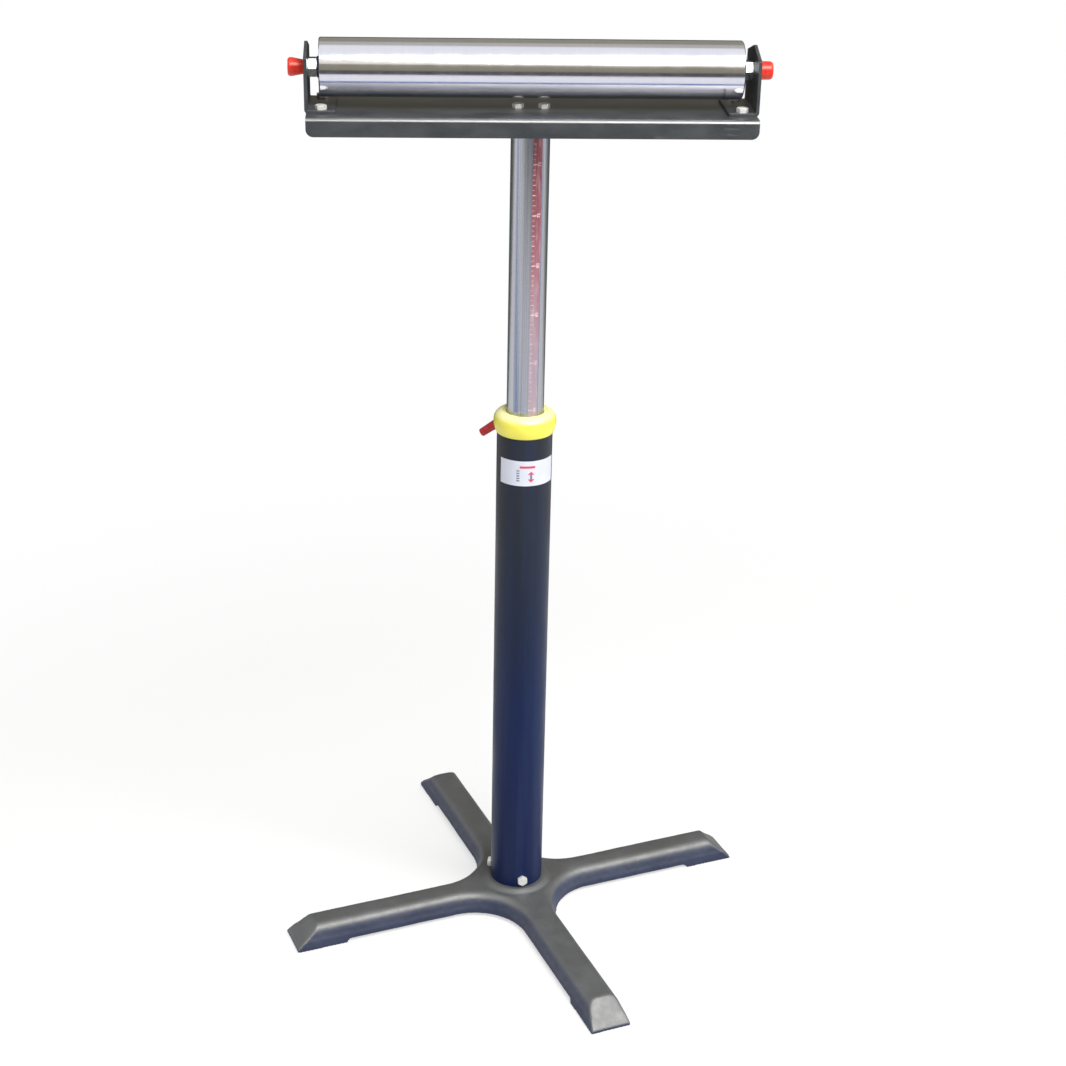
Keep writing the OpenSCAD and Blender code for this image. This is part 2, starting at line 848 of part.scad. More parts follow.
module centre_bolts() {
    color([0.84, 0.84, 0.83])
        for (side = [-1, 1])
            translate([side * head_bolt_pitch / 2, 0, channel_top])
                hex_bolt(bolt_d, head_bolt_length, bolt_head);
}

// Axle and its hardware
module axle() {
    tip = bearing_bore * axle_tip_share;
    color([0.72, 0.73, 0.74])
        at_axle()
            translate([0, 0, -axle_end_x])
                rotate_extrude()
                    polygon([[0, 0], [axle_r - tip, 0], [axle_r, tip], [axle_r, 2 * axle_end_x - tip],
                        [axle_r - tip, 2 * axle_end_x], [0, 2 * axle_end_x]]);
}

module axle_washer(side) {
    color([0.30, 0.30, 0.31])
        on_side(side)
            at_axle()
                translate([0, 0, roller_end])
                    washer(axle_washer_r, bearing_bore / 2, axle_washer_height);
}

module axle_nut(side) {
    color([0.76, 0.76, 0.74])
        on_side(side)
            at_axle()
                translate([0, 0, roller_end + axle_washer_height])
                    rotate([0, 0, 30])
                        hex_nut(axle_nut_flats, axle_nut_height, bearing_bore / 2);
}

module axle_cap(side, root_d) {
    waist = cap_length * cap_waist_share;
    edge = cap_length * cap_edge_share;
    color([0.85, 0.16, 0.12])
        on_side(side)
            at_axle()
                translate([0, 0, bracket_outer_x])
                    difference() {
                        rotate_extrude()
                            polygon([[0, 0], [root_d / 2, 0], [cap_d / 2, waist],
                                [cap_d / 2, cap_length - edge], [cap_d / 2 - edge, cap_length],
                                [0, cap_length]]);
                        translate([0, 0, -cut])
                            cylinder(r = bearing_bore / 2, h = cap_bore_depth + cut);
                    }
}

// Bearing profiles, drawn as (radius, place along the axle) from the roller's end inwards
module bearing_at(side) {
    on_side(side)
        at_axle()
            translate([0, 0, roller_end - bearing_width])
                children();
}

module ball_groove() {
    translate([ball_pitch_r, bearing_width / 2])
        circle(r = ball_groove_r, $fn = 48);
}

module bearing_inner(side) {
    color([0.80, 0.81, 0.83])
        bearing_at(side)
            rotate_extrude()
                difference() {
                    translate([bearing_bore / 2, 0])
                        square([inner_ring_r - bearing_bore / 2, bearing_width]);
                    ball_groove();
                }
}

module bearing_outer(side) {
    color([0.80, 0.81, 0.83])
        bearing_at(side)
            rotate_extrude()
                difference() {
                    translate([outer_ring_bore_r, 0])
                        square([bearing_od / 2 - outer_ring_bore_r, bearing_width]);
                    ball_groove();
                }
}

module at_balls() {
    for (i = [0 : ball_count - 1])
        rotate([0, 0, i * 360 / ball_count])
            translate([ball_pitch_r, 0, bearing_width / 2])
                children();
}

module ball_set(side) {
    color([0.88, 0.88, 0.90])
        bearing_at(side)
            at_balls()
                sphere(r = ball_r, $fn = 48);
}

// Ring with one radial pocket for each ball
module ball_cage(side) {
    color([0.70, 0.58, 0.30])
        bearing_at(side)
            difference() {
                translate([0, 0, (bearing_width - cage_width) / 2])
                    washer(ball_pitch_r + cage_wall, ball_pitch_r - cage_wall, cage_width);
                at_balls()
                    rotate([0, 90, 0])
                        cylinder(r = ball_groove_r + running_gap, h = 4 * cage_wall, center = true);
            }
}

module bearing_shields(side) {
    color([0.45, 0.46, 0.48])
        bearing_at(side)
            for (z = [shield_inset, bearing_width - shield_inset - shield_height])
                translate([0, 0, z])
                    washer(outer_ring_bore_r - static_gap, inner_ring_r + shield_gap, shield_height);
}

// Pressed cup that holds a bearing in the end of the roller tube
module end_housing(side) {
    outer = roller_bore_r - static_gap;
    seat = bearing_od / 2 + static_gap;
    lip = outer_ring_bore_r + static_gap;
    color([0.66, 0.67, 0.68])
        on_side(side)
            at_axle()
                translate([0, 0, roller_end - housing_depth])
                    rotate_extrude()
                        polygon([[outer - housing_wall, 0], [outer, 0],
                            [outer, housing_depth - housing_inset],
                            [seat, housing_depth - housing_inset],
                            [seat, housing_depth - bearing_width - static_gap],
                            [lip, housing_depth - bearing_width - static_gap],
                            [lip, housing_depth - bearing_width - housing_lip],
                            [seat + housing_wall, housing_depth - bearing_width - housing_lip],
                            [seat + housing_wall, housing_depth - housing_inset - housing_wall],
                            [outer - housing_wall, housing_depth - housing_inset - housing_wall]]);
}

module roller_tube() {
    color([0.82, 0.82, 0.83])
        at_axle()
            translate([0, 0, -roller_end])
                rotate_extrude()
                    polygon([[roller_bore_r, 0], [roller_r - roller_chamfer, 0], [roller_r, roller_chamfer],
                        [roller_r, roller_length - roller_chamfer],
                        [roller_r - roller_chamfer, roller_length], [roller_bore_r, roller_length]]);
}

base_casting();
outer_tube();
column_bolts();
guide_bush();
top_collar();
label();
clamp_boss();
pressure_pad();
clamp_screw();
clamp_lever();
lever_screw();
lower_glide();
inner_tube();
tube_end_cap();
glide_stop_ring();
height_scale();
top_plug();
channel_beam();
centre_bolts();
bracket(-1);  // left_bracket
bracket(1);  // right_bracket
bracket_bolts();
bracket_washers();
bracket_nuts();
axle();
axle_nut(-1);  // left_axle_nut
axle_nut(1);  // right_axle_nut
axle_washer(-1);  // left_axle_washer
axle_washer(1);  // right_axle_washer
axle_cap(-1, cap_root_left_d);  // left_axle_cap
axle_cap(1, cap_root_right_d);  // right_axle_cap
bearing_inner(-1);  // left_bearing_inner
bearing_inner(1);  // right_bearing_inner
ball_set(-1);  // left_ball_set
ball_set(1);  // right_ball_set
ball_cage(-1);  // left_ball_cage
ball_cage(1);  // right_ball_cage
bearing_outer(-1);  // left_bearing_outer
bearing_outer(1);  // right_bearing_outer
bearing_shields(-1);  // left_bearing_shields
bearing_shields(1);  // right_bearing_shields
end_housing(-1);  // left_end_housing
end_housing(1);  // right_end_housing
roller_tube();
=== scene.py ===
"""Looks of the roller stand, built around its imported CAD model.

Everything is in metres in the shared frame: +X runs along the roller, +Z is up, and the
floor is at zero. Sizes are written in millimetres and turned into metres by mm().
"""

import json
from math import cos, pi, radians, sin, sqrt, tan

import bmesh
import bpy
from mathutils import Matrix, Vector, noise

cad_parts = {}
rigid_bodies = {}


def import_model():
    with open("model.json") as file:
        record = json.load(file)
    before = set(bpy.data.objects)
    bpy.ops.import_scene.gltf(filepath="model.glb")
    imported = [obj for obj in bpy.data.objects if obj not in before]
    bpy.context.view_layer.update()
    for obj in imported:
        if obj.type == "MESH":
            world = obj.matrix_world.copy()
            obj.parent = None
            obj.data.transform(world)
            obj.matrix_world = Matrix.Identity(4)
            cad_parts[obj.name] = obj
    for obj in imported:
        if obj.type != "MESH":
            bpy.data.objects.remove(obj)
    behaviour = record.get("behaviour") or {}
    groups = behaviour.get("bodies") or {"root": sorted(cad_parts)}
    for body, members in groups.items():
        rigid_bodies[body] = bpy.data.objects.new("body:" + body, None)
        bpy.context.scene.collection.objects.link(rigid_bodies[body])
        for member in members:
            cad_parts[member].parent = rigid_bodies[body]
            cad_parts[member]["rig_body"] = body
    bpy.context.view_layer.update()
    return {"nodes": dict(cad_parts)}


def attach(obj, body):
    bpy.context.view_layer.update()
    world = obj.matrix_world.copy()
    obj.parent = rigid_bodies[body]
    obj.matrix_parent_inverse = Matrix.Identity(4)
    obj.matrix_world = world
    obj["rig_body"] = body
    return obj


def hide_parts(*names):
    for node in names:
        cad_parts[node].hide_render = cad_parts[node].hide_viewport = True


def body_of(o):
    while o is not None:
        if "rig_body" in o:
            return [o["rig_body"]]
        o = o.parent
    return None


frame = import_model()
NODES = frame["nodes"]

# Sizes that the new pieces share with the CAD model
AXLE_Z = 928.5
ROLLER_R = 27.5
ROLLER_END = 200
BRACKET_OUTER = 213.4
MAST_R = 19
COLUMN_R = 28.5
COLLAR_BOTTOM = 563
COLLAR_HEIGHT = 22
COLLAR_R = 32
CLAMP_AZIMUTH = radians(95)
CLAMP_Z = 565
CLAMP_HOLE_R = 9.3
SCALE_AZIMUTH = radians(-70)
LABEL_AZIMUTH = radians(-84)
LABEL_MIDDLE = 526
STAND_HEIGHT = 956
ARM_AZIMUTH = radians(19)
ARM_HALF_WIDTH = 22.5

# Points closer than this are one point
WELD = 0.002


def mm(*values):
    """Millimetres to metres: one number, or several as a tuple."""
    scaled = tuple(value * 0.001 for value in values)
    return scaled[0] if len(scaled) == 1 else scaled


def rgb(red, green, blue):
    """A screen colour, 0 to 255, as the linear colour that a shader takes."""

    def linear(value):
        value /= 255
        return value / 12.92 if value <= 0.04045 else ((value + 0.055) / 1.055) ** 2.4

    return linear(red), linear(green), linear(blue), 1.0


def held(value):
    """A value held between 0 and 1."""
    return min(1, max(0, value))


def placed(name, data):
    """A new object in the scene."""
    piece = bpy.data.objects.new(name, data)
    bpy.context.scene.collection.objects.link(piece)
    return piece


def add_node(tree, kind, inputs=None, **settings):
    """A shader node. Each input is given a value, or the output that feeds it."""
    node = tree.nodes.new(kind)
    for key, value in settings.items():
        setattr(node, key, value)
    for socket, value in (inputs or {}).items():
        if isinstance(value, bpy.types.NodeSocket):
            tree.links.new(value, node.inputs[socket])
        else:
            node.inputs[socket].default_value = value
    return node


# Materials


class Finish:
    """A material made one node at a time. Its places are the object's own metres."""

    def __init__(self, name, **uniform):
        self.material = bpy.data.materials.new(name)
        self.material.use_nodes = True
        self.tree = self.material.node_tree
        self.shader = self.tree.nodes["Principled BSDF"]
        coordinates = self.node("ShaderNodeTexCoord")
        self.place = coordinates.outputs["Object"]
        self.facing = coordinates.outputs["Normal"]
        for socket, value in uniform.items():
            self.shader.inputs[socket.replace("_", " ")].default_value = value

    def node(self, kind, inputs=None, **settings):
        return add_node(self.tree, kind, inputs, **settings)

    def set(self, **linked):
        """Feeds the shader's inputs, whose names are written with _ for each space."""
        for socket, value in linked.items():
            self.tree.links.new(value, self.shader.inputs[socket.replace("_", " ")])

    def noise(self, scale, detail=3.0, roughness=0.55):
        """Noise with this many cells a metre along each axis."""
        if not isinstance(scale, tuple):
            scale = (scale, scale, scale)
        stretched = self.node("ShaderNodeMapping", {"Vector": self.place, "Scale": scale})
        inputs = {
            "Vector": stretched.outputs[0],
            "Scale": 1.0,
            "Detail": detail,
            "Roughness": roughness,
        }
        return self.node("ShaderNodeTexNoise", inputs).outputs["Fac"]

    def specks(self, scale):
        """Distance to the nearest of scattered points, in cells."""
        inputs = {"Vector": self.place, "Scale": scale}
        return self.node("ShaderNodeTexVoronoi", inputs).outputs["Distance"]

    def part(self, vector, axis):
        return self.node("ShaderNodeSeparateXYZ", {0: vector}).outputs[axis]

    def math(self, operation, first, second=0.0, third=0.0):
        inputs = {0: first, 1: second, 2: third}
        return self.node("ShaderNodeMath", inputs, operation=operation).outputs[0]

    def span(self, value, start, end, low=0.0, high=1.0):
        """value mapped smoothly from start..end to low..high."""
        inputs = {"Value": value, "From Min": start, "From Max": end, "To Min": low, "To Max": high}
        node = self.node("ShaderNodeMapRange", inputs, interpolation_type="SMOOTHSTEP")
        return node.outputs["Result"]

    def mix(self, factor, first, second):
        """From one colour to another by factor."""
        # The colour sockets share their names with others on this node, so they go by number
        inputs = {0: factor, 6: first, 7: second}
        return self.node("ShaderNodeMix", inputs, data_type="RGBA").outputs[2]

    def tones(self, value, *stops):
        """Colours along value, given as (place, colour) stops."""
        ramp = self.node("ShaderNodeValToRGB", {"Fac": value})
        elements = ramp.color_ramp.elements
        while len(elements) < len(stops):
            elements.new(1.0)
        for element, (position, colour) in zip(elements, stops):
            element.position = position
            element.color = colour
        return ramp.outputs["Color"]

    def bump(self, height, distance, strength=1.0, under=None):
        """A bumpy normal: distance is the height in millimetres."""
        inputs = {"Height": height, "Distance": mm(distance), "Strength": strength}
        if under is not None:
            inputs["Normal"] = under
        return self.node("ShaderNodeBump", inputs).outputs["Normal"]

    def brushed_round(self, axis):
        """Draws the highlights out round an axis, as turning or drawing marks do."""
        tangent = self.node("ShaderNodeTangent", direction_type="RADIAL", axis=axis)
        self.set(Tangent=tangent.outputs[0])


def cast_iron_paint():
    """Thin dark paint over sand-cast iron: grainy, with small chips, and lit and shaded copies of
    the paint: a lighter grey on its upper faces, painted shade and a painted blue reflection on its
    drafted sides.
    """
    f = Finish("cast_iron_paint", IOR=2.1)
    rise = f.part(f.facing, "Z")
    # Share of the lit top tone against the side tone of painted shade, by how far a face turns up
    lit_top_share = f.span(rise, 0.25, 0.8)
    f.set(Specular_IOR_Level=f.span(rise, 0.2, 0.7, 0.14, 0.62))
    patches = f.noise(28)
    grain = f.noise(520, 2.0)
    lumps = f.noise(150, 3.0)
    top = f.tones(
        patches, (0.3, rgb(42, 46, 48)), (0.55, rgb(54, 58, 60)), (0.75, rgb(66, 70, 72))
    )
    # Side tone: painted shade and a painted blue reflection on the drafted sides
    side = f.tones(patches, (0.3, rgb(24, 36, 68)), (0.7, rgb(44, 54, 82)))
    painted = f.mix(lit_top_share, side, top)
    painted = f.mix(f.span(grain, 0.35, 0.7, 0.0, 0.35), painted, rgb(38, 38, 40))
    chips = f.span(f.specks(62), 0.075, 0.035)
    worn = f.math("MULTIPLY", chips, f.span(f.noise(17), 0.56, 0.66))
    f.set(Base_Color=f.mix(worn, painted, rgb(176, 176, 172)))
    f.set(Roughness=f.span(lumps, 0.3, 0.7, 0.55, 0.61))
    f.set(Normal=f.bump(grain, 0.22, 0.6, f.bump(lumps, 0.35, 0.4)))
    return f.material


def column_paint():
    """Satin dark enamel, charcoal at the top, with a painted blue reflection that deepens to dark
    blue near the foot and shows in lighter streaks.
    """
    f = Finish("column_paint", Specular_IOR_Level=0.2)
    height = f.part(f.place, "Z")
    # Painted reflection: charcoal at the top turning to dark blue towards the foot
    wander = f.math("MULTIPLY_ADD", f.noise((9, 9, 5)), 0.06, height)
    body = f.tones(
        f.span(wander, 0.04, 0.58),
        (0.0, rgb(6, 24, 66)),
        (0.35, rgb(6, 26, 68)),
        (0.62, rgb(22, 32, 58)),
        (1.0, rgb(38, 41, 47)),
    )
    # Lighter blue streaks of painted reflection
    streaks = f.noise((60, 60, 2.5), 3.0)
    body = f.mix(f.span(streaks, 0.42, 0.66, 0.0, 0.35), body, rgb(32, 48, 82))
    f.set(Base_Color=body)
    f.set(Roughness=f.span(f.noise((40, 40, 12)), 0.3, 0.7, 0.34, 0.48))
    f.set(Normal=f.bump(f.noise(420, 1.5), 0.09, 0.5, f.bump(f.noise(45), 0.25, 0.3)))
    return f.material


def black_paint():
    """Semi-gloss black enamel on sheet steel, glossier on level faces and bends, with scuffs."""
    f = Finish("black_paint", IOR=1.8)
    rise = f.part(f.facing, "Z")
    bent = f.math("MULTIPLY", f.span(rise, 0.15, 0.4), f.span(rise, 0.97, 0.85))
    level = f.span(rise, 0.97, 0.995, 0.3, 0.9)
    f.set(Specular_IOR_Level=f.math("MAXIMUM", level, f.span(bent, 0.0, 1.0, 0.3, 1.0)))
    patches = f.noise((30, 60, 60))
    body = f.tones(patches, (0.3, rgb(44, 48, 52)), (0.7, rgb(60, 63, 67)))
    body = f.mix(f.span(f.noise(700, 2.0), 0.5, 0.75, 0.0, 0.4), body, rgb(30, 31, 32))
    scratches = f.span(f.noise((25, 300, 300)), 0.6, 0.7)
    scuffs = f.math("MULTIPLY", scratches, f.span(f.noise(35), 0.5, 0.62))
    f.set(Base_Color=f.mix(f.math("MULTIPLY", scuffs, 0.22), body, rgb(120, 120, 118)))
    f.set(Roughness=f.span(patches, 0.3, 0.7, 0.34, 0.44))
    f.set(Normal=f.bump(f.noise(600, 2.0), 0.05, 0.4, f.bump(f.noise(70), 0.10, 0.3)))
    return f.material


def roller_chrome():
    """Bright plated tube with fine turning lines round it."""
    f = Finish("roller_chrome", Metallic=1.0, Anisotropic=0.35)
    rings = f.noise((2200, 6, 6), 2.0, 0.7)
    broad = f.noise((60, 4, 4), 2.0)
    f.set(Base_Color=f.tones(rings, (0.25, rgb(218, 218, 230)), (0.75, rgb(226, 226, 236))))
    f.set(Roughness=f.math("MULTIPLY_ADD", rings, 0.02, f.span(broad, 0.3, 0.7, 0.11, 0.15)))
    f.set(Normal=f.bump(rings, 0.0015, 0.3))
    f.brushed_round("X")
    return f.material


def mast_steel():
    """Drawn bright tube with faint slide marks, and lengthwise bands that are partly drawing marks
    and partly painted reflection streaks.
    """
    f = Finish("mast_steel", Metallic=1.0, Anisotropic=0.3)
    fine = f.noise((1500, 1500, 3), 2.0, 0.7)
    bands = f.noise((210, 210, 1.2), 2.0)
    # Lengthwise bands, dark, bluish and warm: partly drawing marks, partly painted reflection
    body = f.tones(
        bands,
        (0.30, rgb(148, 154, 150)),
        (0.45, rgb(192, 193, 198)),
        (0.55, rgb(172, 176, 190)),
        (0.70, rgb(214, 212, 209)),
    )
    body = f.mix(f.span(fine, 0.35, 0.7, 0.0, 0.2), body, rgb(146, 148, 154))
    f.set(Base_Color=body)
    f.set(Roughness=f.math("MULTIPLY_ADD", fine, 0.12, f.span(bands, 0.3, 0.7, 0.24, 0.16)))
    f.set(Normal=f.bump(fine, 0.012, 0.6, f.bump(bands, 0.05, 0.5)))
    f.brushed_round("Z")
    return f.material


def metal(name, dark, light, roughness, spread, cells=320, metallic=1.0):
    """A plain metal with fine marks: dark and light are its two screen colours."""
    f = Finish(name, Metallic=metallic)
    marks = f.noise(cells, 3.0, 0.6)
    f.set(Base_Color=f.tones(marks, (0.3, rgb(*dark)), (0.7, rgb(*light))))
    f.set(Roughness=f.span(f.noise(cells / 3), 0.3, 0.7, roughness, roughness + spread))
    f.set(Normal=f.bump(marks, 0.03, 0.5))
    return f.material


def plastic(name, dark, light, roughness, spread, cells, bump=0.08):
    """A moulded plastic: dark and light are its two screen colours."""
    f = Finish(name)
    flow = f.noise(cells, 2.0)
    f.set(Base_Color=f.tones(flow, (0.3, rgb(*dark)), (0.7, rgb(*light))))
    f.set(Roughness=f.span(f.noise(cells * 2.3), 0.3, 0.7, roughness, roughness + spread))
    f.set(Normal=f.bump(f.noise(cells * 6, 2.0), bump / 3, 0.5, f.bump(flow, bump, 0.4)))
    return f.material


def yellow_plastic():
    """Glossy yellow moulding with a painted whitish highlight on its upper faces."""
    f = Finish("yellow_plastic", IOR=1.9)
    flow = f.noise(60, 2.0)
    body = f.tones(flow, (0.3, rgb(228, 218, 48)), (0.7, rgb(238, 228, 72)))
    # Painted highlight: faces that turn up are mixed towards a pale, whitish yellow
    lit_top_share = f.span(f.part(f.facing, "Z"), 0.25, 0.85, 0.0, 0.75)
    f.set(Base_Color=f.mix(lit_top_share, body, rgb(244, 240, 190)))
    f.set(Roughness=f.span(f.noise(138), 0.3, 0.7, 0.36, 0.46))
    f.set(Normal=f.bump(f.noise(360, 2.0), 0.03, 0.5, f.bump(flow, 0.10, 0.4)))
    return f.material


def scale_film():
    """Rose print on clear film, denser towards the top of the mast."""
    f = Finish("scale_film", Metallic=0.6)
    height = f.part(f.place, "Z")
    wander = f.math("MULTIPLY_ADD", f.noise((200, 200, 14)), 0.12, height)
    body = f.tones(
        f.span(wander, 0.60, 0.90),
        (0.0, rgb(182, 168, 178)),
        (0.45, rgb(180, 152, 162)),
        (0.75, rgb(172, 118, 128)),
        (1.0, rgb(146, 84, 92)),
    )
    worn = f.span(f.noise((500, 500, 60)), 0.45, 0.75, 0.0, 0.3)
    f.set(Base_Color=f.mix(worn, body, rgb(222, 206, 206)))
    f.set(Roughness=f.span(f.noise(240), 0.3, 0.7, 0.3, 0.4))
    return f.material


# Two screen colours, lowest roughness, its spread, then what differs from metal()'s defaults
METALS = {
    "turned_steel": ((150, 152, 155), (188, 189, 190), 0.22, 0.14),
    "bearing_steel": ((196, 198, 202), (226, 227, 230), 0.10, 0.08),
    "zinc_bolt": ((226, 226, 222), (244, 244, 241), 0.30, 0.14, 260, 0.45),
    "dark_steel": ((52, 50, 50), (92, 90, 88), 0.34, 0.16, 400),
    "brass": ((190, 150, 84), (216, 178, 104), 0.22, 0.14),
}

# Two screen colours, lowest roughness, its spread, cells a metre, and bump in millimetres
PLASTICS = {
    "red_plastic": ((206, 34, 20), (226, 58, 30), 0.26, 0.10, 160, 0.10),
    "red_lever_plastic": ((160, 22, 26), (190, 40, 42), 0.34, 0.12, 180, 0.12),
    "black_nylon": ((26, 26, 27), (40, 40, 41), 0.46, 0.14, 200),
    "white_nylon": ((214, 211, 198), (228, 226, 215), 0.42, 0.12, 200),
    "label_film": ((196, 200, 214), (208, 212, 224), 0.32, 0.06, 40, 0.03),
    "print_red": ((196, 58, 84), (208, 74, 98), 0.36, 0.06, 60, 0.01),
    "print_grey": ((104, 108, 122), (128, 132, 144), 0.36, 0.06, 60, 0.01),
    "print_pale": ((226, 196, 202), (238, 212, 216), 0.36, 0.06, 60, 0.01),
}

FINISHES = {
    "cast_iron_paint": cast_iron_paint(),
    "column_paint": column_paint(),
    "black_paint": black_paint(),
    "roller_chrome": roller_chrome(),
    "mast_steel": mast_steel(),
    "yellow_plastic": yellow_plastic(),
    "scale_film": scale_film(),
    **{name: metal(name, *values) for name, values in METALS.items()},
    **{name: plastic(name, *values) for name, values in PLASTICS.items()},
}

# Which finish each CAD node that stays has
KEPT = {
    "column_paint": ["outer_tube"],
    "mast_steel": ["inner_tube"],
    "black_nylon": ["guide_bush", "tube_end_cap"],
    "white_nylon": ["lower_glide"],
    "label_film": ["label"],
    "scale_film": ["height_scale"],
    "brass": ["pressure_pad", "left_ball_cage", "right_ball_cage"],
    "turned_steel": ["clamp_screw", "axle", "left_end_housing", "right_end_housing"],
    "dark_steel": ["glide_stop_ring", "top_plug", "left_bearing_shields", "right_bearing_shields"],
    "bearing_steel": [
        "left_bearing_inner",
        "right_bearing_inner",
        "left_bearing_outer",
        "right_bearing_outer",
        "left_ball_set",
        "right_ball_set",
    ],
}


# Geometry


def add_piece(name, mesh, body, slot, *nodes, finish=None):
    """Puts a mesh in the scene as a piece of one body, standing for the CAD nodes named."""
    piece = placed(name, mesh)
    mesh.materials.clear()
    mesh.materials.append(FINISHES[finish or slot])
    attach(piece, body)
    if nodes:
        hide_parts(*nodes)
    return piece


def shade_round(mesh):
    for polygon in mesh.polygons:
        polygon.use_smooth = True


def smooth(piece):
    """Rounded shading that keeps broad faces flat."""
    shade_round(piece.data)
    weighted = piece.modifiers.new("weighted_normals", "WEIGHTED_NORMAL")
    weighted.keep_sharp = True


def mesh_from(bm, name):
    mesh = bpy.data.meshes.new(name)
    bm.to_mesh(mesh)
    bm.free()
    return mesh


def weld(bm):
    bmesh.ops.remove_doubles(bm, verts=bm.verts, dist=mm(WELD))


def face_outwards(bm):
    bmesh.ops.recalc_face_normals(bm, faces=bm.faces)


def evaluated(piece):
    """The mesh of a piece with its modifiers applied."""
    graph = bpy.context.evaluated_depsgraph_get()
    return bpy.data.meshes.new_from_object(piece.evaluated_get(graph))


def dress(node, name, slot, edge, steps=2):
    """A copy of a rigid CAD node with its sharp edges broken by a small radius."""
    flat, sharp = 0.3, 28
    bm = bmesh.new()
    bm.from_mesh(NODES[node].data)
    weld(bm)
    bmesh.ops.dissolve_limit(
        bm,
        angle_limit=radians(flat),
        verts=bm.verts,
        edges=bm.edges,
        use_dissolve_boundaries=False,
    )
    edges = [e for e in bm.edges if e.is_manifold and e.calc_face_angle(0) > radians(sharp)]
    bmesh.ops.bevel(
        bm,
        geom=edges,
        offset=mm(edge),
        offset_type="OFFSET",
        segments=steps,
        profile=0.5,
        affect="EDGES",
        clamp_overlap=True,
    )
    smooth(add_piece(name, mesh_from(bm, name), body_of(NODES[node])[0], slot, node))


def rounded(corners, steps=6):
    """Points of an outline whose corners are (across, along, radius), ends left as they are."""
    points = []
    for i, (across, along, radius) in enumerate(corners):
        corner = Vector((across, along))
        if radius == 0 or i in (0, len(corners) - 1):
            points.append(corner)
            continue
        before = (Vector(corners[i - 1][:2]) - corner).normalized()
        after = (Vector(corners[i + 1][:2]) - corner).normalized()
        half = before.angle(after) / 2
        centre = corner + (before + after).normalized() * (radius / sin(half))
        start = corner + before * (radius / tan(half)) - centre
        end = corner + after * (radius / tan(half)) - centre
        turn = start.angle(end)
        for k in range(steps + 1):
            share = k / steps
            swung = start * sin((1 - share) * turn) + end * sin(share * turn)
            points.append(centre + swung / sin(turn))
    return [tuple(point) for point in points]


def lathe(name, outline, place=Matrix.Identity(4), turns=128, closed=False):
    """A mesh turned about +Z from (radius, height) points in millimetres, then put in place."""
    count = len(outline)
    verts = [
        Vector((r * cos(a), r * sin(a), h)) * 0.001
        for a in (2 * pi * i / turns for i in range(turns))
        for r, h in outline
    ]
    faces = []
    for i in range(turns):
        here, there = i * count, (i + 1) % turns * count
        for k in range(count if closed else count - 1):
            m = (k + 1) % count
            faces.append((here + k, there + k, there + m, here + m))
    mesh = bpy.data.meshes.new(name)
    mesh.from_pydata(verts, [], faces)
    bm = bmesh.new()
    bm.from_mesh(mesh)
    weld(bm)
    face_outwards(bm)
    bm.transform(place)
    bm.to_mesh(mesh)
    bm.free()
    return mesh


def turned_to(direction, origin):
    """Takes +Z to a direction and the origin to a place in millimetres."""
    turn = Vector(direction).to_track_quat("Z", "Y").to_matrix().to_4x4()
    return Matrix.Translation(Vector(origin) * 0.001) @ turn


def remeshed(mesh, voxel, passes):
    """One closed skin over a mesh, with every edge softened by about a voxel."""
    holder = placed("holder", mesh)
    skin = holder.modifiers.new("skin", "REMESH")
    skin.mode = "VOXEL"
    skin.voxel_size = mm(voxel)
    calm = holder.modifiers.new("calm", "SMOOTH")
    calm.factor = 0.5
    calm.iterations = passes
    result = evaluated(holder)
    bpy.data.objects.remove(holder)
    return result


def cut_away(mesh, tool):
    """A mesh with the space of a second one taken out of it."""
    holder, cutter = placed("holder", mesh), placed("cutter", tool)
    cut = holder.modifiers.new("cut", "BOOLEAN")
    cut.operation = "DIFFERENCE"
    cut.solver = "EXACT"
    cut.object = cutter
    result = evaluated(holder)
    bpy.data.objects.remove(holder)
    bpy.data.objects.remove(cutter)
    return result


def rectangle(bm, across, up, width, height):
    """A flat patch in millimetres, centred at (across, up)."""
    corners = [(-1, -1), (1, -1), (1, 1), (-1, 1)]
    places = [(across + sx * width / 2, up + sy * height / 2, 0) for sx, sy in corners]
    bm.faces.new([bm.verts.new(place) for place in places])


def figures(bm, text, across, up, size):
    """Plain figures as flat patches that read upwards, centred at (across, up), in millimetres."""
    curve = bpy.data.curves.new("figures", "FONT")
    curve.body = text
    curve.size = size
    curve.align_x = "CENTER"
    curve.align_y = "CENTER"
    curve.resolution_u = 3
    holder = placed("figures", curve)
    mesh = evaluated(holder)
    bpy.data.objects.remove(holder)
    mesh.transform(Matrix.Translation((across, up, 0)) @ Matrix.Rotation(radians(90), 4, "Z"))
    bm.from_mesh(mesh)


def wrapped(bm, name, radius, azimuth):
    """Wraps flat patches round a cylinder about +Z as a thin raised print."""
    thickness, pitch = 0.03, 0.6
    left = min(v.co.x for v in bm.verts)
    right = max(v.co.x for v in bm.verts)
    cuts = int((right - left) / pitch)
    for i in range(1, cuts + 1):
        geometry = bm.verts[:] + bm.edges[:] + bm.faces[:]
        place = (left + i * (right - left) / (cuts + 1), 0, 0)
        bmesh.ops.bisect_plane(bm, geom=geometry, plane_co=place, plane_no=(1, 0, 0), dist=1e-5)
    raised = bmesh.ops.extrude_face_region(bm, geom=bm.faces[:])
    for v in (item for item in raised["geom"] if isinstance(item, bmesh.types.BMVert)):
        v.co.z += thickness
    for v in bm.verts:
        angle = azimuth + v.co.x / radius
        r = radius + v.co.z
        v.co = Vector((r * cos(angle), r * sin(angle), v.co.y)) * 0.001
    face_outwards(bm)
    return mesh_from(bm, name)


# Foot casting


